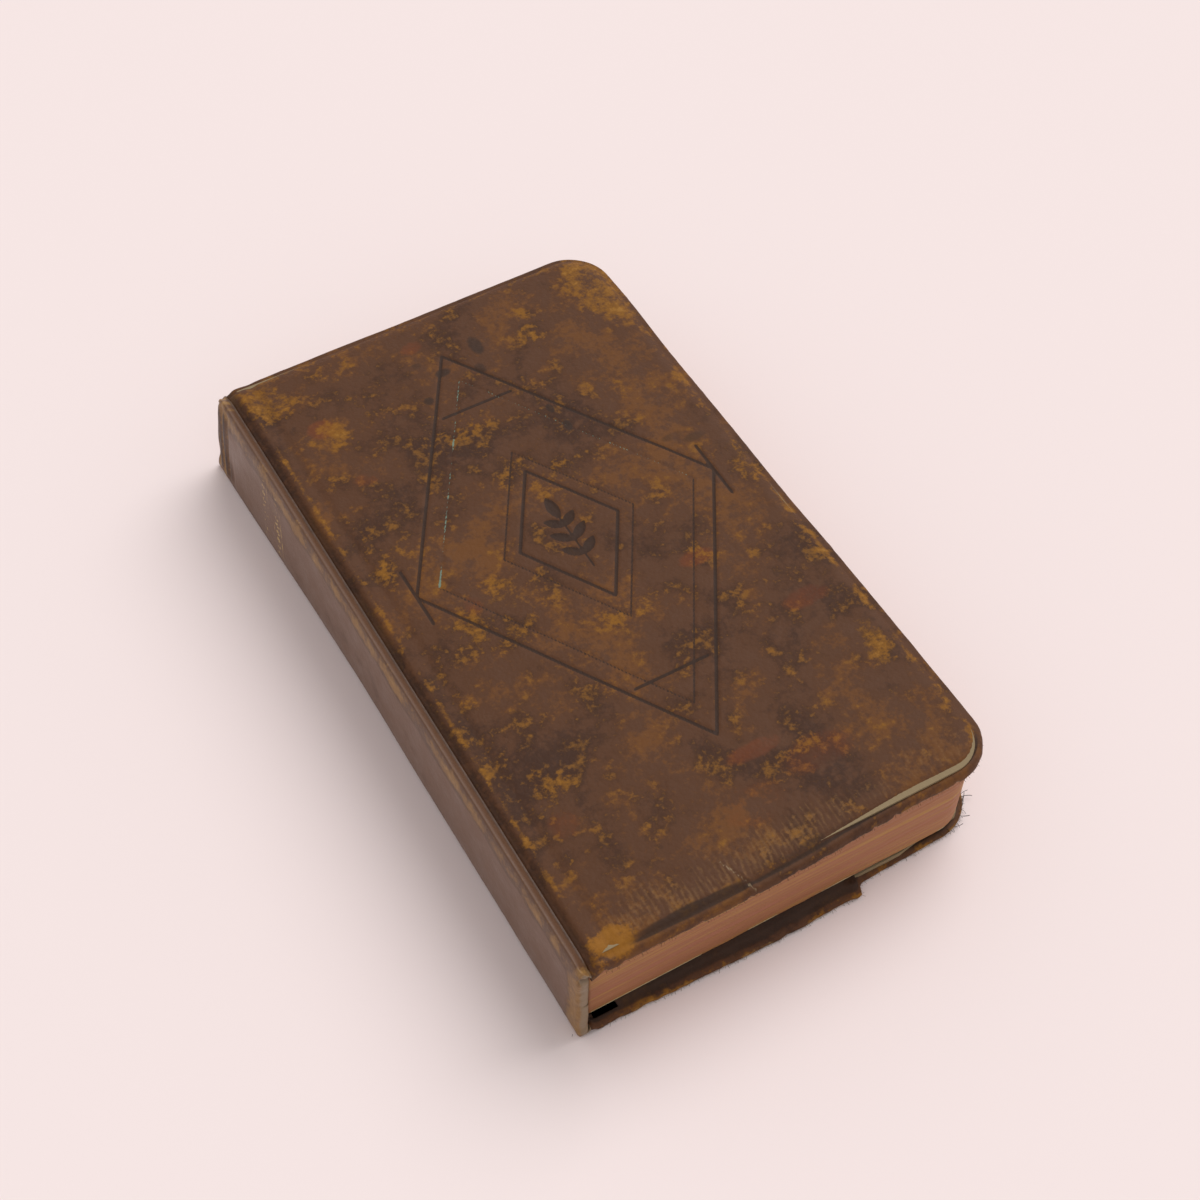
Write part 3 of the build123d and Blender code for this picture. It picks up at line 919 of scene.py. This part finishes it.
smooth_leather = coated(
    "vegetable_tanned_leather_hand_smoothed",
    "#5d402c",
    [
        # paler, greyer face of the spine: partly the hide's tone, partly a painted sheen
        ("spine_face_tint_and_sheen", {"grit": 0.3}, 0.15, 0.8, "#735746", 0.9),
        (None, {"clouds": 1.0, "patches": 0.5}, 0.05, 0.25, "#553c2e", 0.6),
        ("worn", {"patches": 1.0, "grit": 1.0, "dust": 0.5}, 0.35, 0.85, "#8f6a3b", 0.9),
        ("worn", {"grit": 1.4, "dust": 0.9}, 0.85, 1.3, "#b08a55", 0.7),
        # painted shade in the groove and on the head cap's folds
        ("stain_and_shade", {"patches": 0.5, "grit": 0.4}, 0.2, 0.7, "#3a281c", 0.85),
        ("gilding", {"patches": 0.6, "grit": 0.6}, 0.8, 0.95, "#c2a468", 0.75),
        ("raw", {"grit": 0.8, "dust": 0.8}, 0.3, 0.9, "#84715a", 0.85),
        # painted shade inside the hole in the tail cap
        ("hole", {"grit": 0.2}, 0.45, 0.8, "#2c1e16", 0.9),
    ],
    0.45,
    0.35,
    bump=0.00006,
)

# %% [markdown]
# The pages' edges were coloured red and gilt, and rubbing has left long streaks of both.  The paper inside
# has yellowed; the boards are grey-brown pulp, the mull is open cotton cloth, and the lining is plain paper.

# %% Paper, board and cloth
ALONG = (0.03, 0.03, 2.4)  # streaks run along the edges, and are thin from top to bottom
page_edge = coated(
    "rag_paper_cut_edge_reddened",
    "#a06a4a",
    [
        (None, {"patches": 1.0, "grit": 0.5}, 0.0, 0.2, "#a76b58", 0.9),
        (None, {"clouds": -1.0, "grit": 0.7}, 0.02, 0.2, "#b08546", 0.85),
        (None, {"grit": 1.0, "dust": 0.6}, 0.16, 0.34, "#b9935a", 0.5),
        (None, {"patches": -1.0, "dust": 0.6}, 0.16, 0.36, "#7f4427", 0.7),
        # painted shade in the dent of the pages' tail edge
        ("dent_and_shade", {"dust": 0.3}, 0.4, 0.8, "#5a2f1c", 0.8),
    ],
    0.62,
    0.3,
    bump=0.00005,
    stretch=ALONG,
)
paper = coated(
    "rag_paper_yellowed",
    "#d3bf95",
    [
        (None, {"clouds": 1.0, "patches": 0.4}, 0.05, 0.3, "#c0a473", 0.6),
        (None, {"patches": 1.0, "grit": 0.5}, 0.28, 0.4, "#9c7546", 0.5),
    ],
    0.8,
    0.2,
    grain=0.3,
    bump=0.00002,
)
plain = {  # the body of each plain finish, its darker or paler flecks, and how rough it is
    "pulp_board_pressed": ("#8f7c5f", ("grit", 0.1, "#6f5e45", 0.7), 0.85, 0.2),
    "cotton_mull_open_weave": ("#c9bb98", ("dust", 0.1, "#8f7f5f", 0.8), 0.9, 0.1),
    "lining_paper_rolled": ("#b59c70", ("grit", 0.1, "#94794f", 0.5), 0.85, 0.2),
    "leather_fibre_frayed": ("#6a5034", ("grit", 0.0, "#a98d62", 0.8), 0.8, 0.2),
    "linen_thread_blackened": ("#1d1712", ("grit", 0.1, "#3a2d22", 0.7), 0.8, 0.2),
}
finish_of = {}
for name, (base, (label, low, fleck, strength), rough_value, specular) in plain.items():
    flecks = [(None, {label: 1.0}, low, low + 0.2, fleck, strength)]
    finish_of[name] = coated(name, base, flecks, rough_value, specular)

for piece, material in (
    (front_skin, worn_leather), (back_skin, worn_leather), (spine_skin, smooth_leather),
    (pages, page_edge), (front_paper, paper), (back_paper, paper),
):
    piece.data.materials.append(material)
for node, name in (
    ("front_board", "pulp_board_pressed"), ("back_board", "pulp_board_pressed"),
    ("spine_mull", "cotton_mull_open_weave"), ("spine_lining", "lining_paper_rolled"),
):
    mesh = frame["nodes"][node].data
    mesh.materials.clear()
    mesh.materials.append(finish_of[name])
print("materials", len(bpy.data.materials))

# %% [markdown]
# Worn leather edges are fuzzy: short fibres stand out of the raw hide.  They repeat by the hundred along
# a path, which is what Geometry Nodes are for.  The tree walks along an edge, sets a thin curved fibre at
# each step, turns and scales it at random, and joins the lot into one mesh.

# %% A tree that grows fibres along an edge
def fibre_tree(name, material):
    """A node group: a path of edges in, a fringe of fibres out."""
    tree = bpy.data.node_groups.new(name, "GeometryNodeTree")
    tree.interface.new_socket("Geometry", in_out="INPUT", socket_type="NodeSocketGeometry")
    for label in ("Spacing", "Length", "Slenderness"):
        tree.interface.new_socket(label, in_out="INPUT", socket_type="NodeSocketFloat")
    tree.interface.new_socket("Seed", in_out="INPUT", socket_type="NodeSocketInt")
    tree.interface.new_socket("Geometry", in_out="OUTPUT", socket_type="NodeSocketGeometry")
    given = add_node(tree, "NodeGroupInput").outputs
    curve = add_node(tree, "GeometryNodeMeshToCurve", inputs={"Mesh": given["Geometry"]}).outputs[0]
    walk_inputs = {"Curve": curve, "Length": given["Spacing"]}
    walk = add_node(tree, "GeometryNodeCurveToPoints", {"mode": "LENGTH"}, walk_inputs).outputs[0]
    bend_inputs = {"Resolution": 4, "Start": (0, 0, 0), "Middle": (0.12, 0, 0.6), "End": (0.5, 0, 1.0)}
    bend = add_node(tree, "GeometryNodeCurveQuadraticBezier", inputs=bend_inputs).outputs[0]
    ring_inputs = {"Resolution": 3, "Radius": given["Slenderness"]}
    ring = add_node(tree, "GeometryNodeCurvePrimitiveCircle", inputs=ring_inputs).outputs[0]
    fibre_inputs = {"Curve": bend, "Profile Curve": ring, "Fill Caps": True}
    fibre = add_node(tree, "GeometryNodeCurveToMesh", inputs=fibre_inputs).outputs[0]
    turn_inputs = {"Min": (-0.8, -0.8, 0.0), "Max": (0.8, 0.8, 6.28), "Seed": given["Seed"]}
    turn = add_node(tree, "FunctionNodeRandomValue", {"data_type": "FLOAT_VECTOR"}, turn_inputs).outputs[0]
    size_inputs = {2: 0.25, 3: 1.0, "Seed": given["Seed"]}
    size = add_node(tree, "FunctionNodeRandomValue", {"data_type": "FLOAT"}, size_inputs).outputs[1]
    length_inputs = {0: size, 1: given["Length"]}
    long = add_node(tree, "ShaderNodeMath", {"operation": "MULTIPLY"}, length_inputs).outputs[0]
    named = {"data_type": "FLOAT_VECTOR"}
    out_way = add_node(tree, "GeometryNodeInputNamedAttribute", named, {"Name": "out"}).outputs[0]
    align = add_node(tree, "FunctionNodeAlignRotationToVector", {"axis": "Z"}, {"Vector": out_way}).outputs[0]
    spin_inputs = {"Rotation": align, "Rotate By": turn}
    spin = add_node(tree, "FunctionNodeRotateRotation", {"rotation_space": "LOCAL"}, spin_inputs).outputs[0]
    put_inputs = {"Points": walk, "Instance": fibre, "Rotation": spin, "Scale": long}
    put = add_node(tree, "GeometryNodeInstanceOnPoints", inputs=put_inputs).outputs[0]
    real = add_node(tree, "GeometryNodeRealizeInstances", inputs={"Geometry": put}).outputs[0]
    coat_inputs = {"Geometry": real, "Material": material}
    coat = add_node(tree, "GeometryNodeSetMaterial", inputs=coat_inputs).outputs[0]
    add_node(tree, "NodeGroupOutput", inputs={0: coat})
    return tree


hide_tree = fibre_tree("hide_fibres", finish_of["leather_fibre_frayed"])
thread_tree = fibre_tree("black_threads", finish_of["linen_thread_blackened"])

# %% [markdown]
# Each fringe follows a ring of the skin it grows from, so it sits on the real, nibbled edge.  The modifier's
# result is turned into a plain mesh, because the export and the poses work on plain meshes.

# %% Grow the fringes
def grow(name, tree, points_mm, drop, spacing, length, slender, seed):
    """Fibres along a path of points, leaning out of it and down by drop."""
    path = place(points_mm)
    ahead = np.gradient(path, axis=0)
    lean = np.column_stack([ahead[:, 1], -ahead[:, 0], np.zeros(len(path))])
    lean /= np.maximum(np.linalg.norm(lean, axis=1)[:, None], 1e-9)
    lean[:, 2] = drop
    mesh = bpy.data.meshes.new(name + "_path")
    gaps = np.linalg.norm(np.diff(path, axis=0), axis=1)
    edges = [(k, k + 1) for k in range(len(path) - 1) if gaps[k] < 0.004]
    mesh.from_pydata(path.tolist(), edges, [])
    layer = mesh.attributes.new("out", "FLOAT_VECTOR", "POINT")
    layer.data.foreach_set("vector", lean.astype(np.float32).ravel())
    carrier = bpy.data.objects.new(name + "_path", mesh)
    bpy.context.scene.collection.objects.link(carrier)
    modifier = carrier.modifiers.new("fibres", "NODES")
    modifier.node_group = tree
    values = {"Spacing": spacing, "Length": length, "Slenderness": slender, "Seed": seed}
    for socket in tree.interface.items_tree:
        if socket.in_out == "INPUT" and socket.name in values:
            modifier[socket.identifier] = values[socket.name]
    evaluated = carrier.evaluated_get(bpy.context.evaluated_depsgraph_get())
    grown = bpy.data.objects.new(name, bpy.data.meshes.new_from_object(evaluated))
    bpy.context.scene.collection.objects.link(grown)
    carrier.modifiers.remove(modifier)
    bpy.data.objects.remove(carrier)
    print(name, "triangles", sum(len(p.vertices) - 2 for p in grown.data.polygons))
    return grown


def skin_ring(skin, ring_of, ring, from_x):
    """A ring of a cover's skin, in bookbinder's millimetres, past from_x."""
    flat = np.zeros(len(skin.data.vertices) * 3)
    skin.data.vertices.foreach_get("co", flat)
    where = (flat.reshape(-1, 3) - origin) / MM
    return where[(ring_of == ring) & (where[:, 0] > from_x)]


past_hinge = hinge_x + 3.0
back_edge = skin_ring(back_skin, back_ring_of, 2, past_hinge)
front_edge = skin_ring(front_skin, front_ring_of, 6, past_hinge)
front_fringe = grow("front_lip_fibres", hide_tree, front_edge, -0.5, 0.00035, 0.0009, 0.045, 3)
back_fringe = grow("back_lip_fibres", hide_tree, back_edge, 0.15, 0.0005, 0.0008, 0.05, 4)
corner = back_edge[(back_edge[:, 0] > width - 9) & (back_edge[:, 1] < 9)]
corner_threads = grow("frayed_corner_threads", thread_tree, corner, 0.9, 0.0006, 0.0022, 0.04, 6)
cap_foot = np.array([(-0.3 + 0.35 * k, 1.6 - 0.12 * k, 0.5) for k in range(9)])
cap_threads = grow("tail_cap_threads", thread_tree, cap_foot, 0.3, 0.0011, 0.0016, 0.04, 7)
fringes = {
    front_fringe: "front_cover",
    back_fringe: "back_cover",
    corner_threads: "back_cover",
    cap_threads: "pages",
}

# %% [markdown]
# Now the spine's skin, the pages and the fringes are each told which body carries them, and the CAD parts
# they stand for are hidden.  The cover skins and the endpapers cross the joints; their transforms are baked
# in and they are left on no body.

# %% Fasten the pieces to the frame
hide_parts("front_leather")
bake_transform(front_skin)
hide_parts("back_leather")
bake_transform(back_skin)
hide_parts("spine_leather")
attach(spine_skin, "pages")
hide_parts("text_block")
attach(pages, "pages")
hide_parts("front_flyleaf", "front_pastedown")
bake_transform(front_paper)
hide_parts("back_flyleaf", "back_pastedown")
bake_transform(back_paper)
for fringe, body in fringes.items():
    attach(fringe, body)

# %% [markdown]
# The studio is a pale floor, one wide soft lamp high on the fore-edge side, and an even sky.  Together they
# light a level surface so that a colour renders about as it is written.

# %% Floor, light and camera
bpy.context.scene.view_settings.view_transform = "Standard"
PALE = "#f7e7e5"
floor_mesh = bpy.data.meshes.new("studio_floor")
FLOOR_REACH = 3.0
signs = ((-1, -1), (1, -1), (1, 1), (-1, 1))
corners = [(a * FLOOR_REACH, b * FLOOR_REACH, cad_low.z) for a, b in signs]
floor_mesh.from_pydata(corners, [], [(0, 1, 2, 3)])
floor = bpy.data.objects.new("studio_floor", floor_mesh)
bpy.context.scene.collection.objects.link(floor)
backdrop = bpy.data.materials.new("studio_paper_matt")
backdrop.use_nodes = True
matt = {"Base Color": linear(PALE), "Roughness": 0.95, "Specular IOR Level": 0.0}
for socket, value in matt.items():
    backdrop.node_tree.nodes["Principled BSDF"].inputs[socket].default_value = value
floor_mesh.materials.append(backdrop)

world = bpy.data.worlds.new("studio_sky")
bpy.context.scene.world = world
world.use_nodes = True
world.node_tree.nodes.clear()
tree = world.node_tree
rays = add_node(tree, "ShaderNodeLightPath").outputs
seen = rays["Is Camera Ray"]
for kind in ("Is Glossy Ray", "Is Transmission Ray"):
    seen = add_node(tree, "ShaderNodeMath", {"operation": "MAXIMUM"}, {0: seen, 1: rays[kind]}).outputs[0]
sky = add_node(tree, "ShaderNodeBackground", inputs={"Color": (1, 1, 1, 1), "Strength": 0.6}).outputs[0]
shown = add_node(tree, "ShaderNodeBackground", inputs={"Color": linear(PALE), "Strength": 1.0}).outputs[0]
mixed = add_node(tree, "ShaderNodeMixShader", inputs={0: seen, 1: sky, 2: shown}).outputs[0]
add_node(tree, "ShaderNodeOutputWorld", inputs={"Surface": mixed})

lamp_data = bpy.data.lights.new("soft_lamp", "SUN")
lamp_data.energy = 1.55
lamp_data.angle = math.radians(50)
lamp = bpy.data.objects.new("soft_lamp", lamp_data)
toward_lamp = Vector((0.55, 0.22, 0.8))
lamp.rotation_mode = "QUATERNION"
lamp.rotation_quaternion = (-toward_lamp).to_track_quat("-Z", "Y")
bpy.context.scene.collection.objects.link(lamp)

camera_turn, camera_rise, camera_roll = math.radians(-31.134), math.radians(52.625), math.radians(1.43)
camera_target = Vector(place((59.6, 94.2, 0)))
camera_distance = 0.469
camera_data = bpy.data.cameras.new("camera")
camera_data.lens, camera_data.sensor_width = 60, 36
camera_data.clip_start = 0.01
camera = bpy.data.objects.new("camera", camera_data)
level = math.cos(camera_rise)
back_way = Vector((math.sin(camera_turn) * level, -math.cos(camera_turn) * level, math.sin(camera_rise)))
camera.location = camera_target + back_way * camera_distance
camera.rotation_mode = "QUATERNION"
upright = (-back_way).to_track_quat("-Z", "Y").to_matrix()
camera.rotation_quaternion = (upright @ Matrix.Rotation(camera_roll, 3, "Z")).to_quaternion()
bpy.context.scene.collection.objects.link(camera)
bpy.context.scene.camera = camera
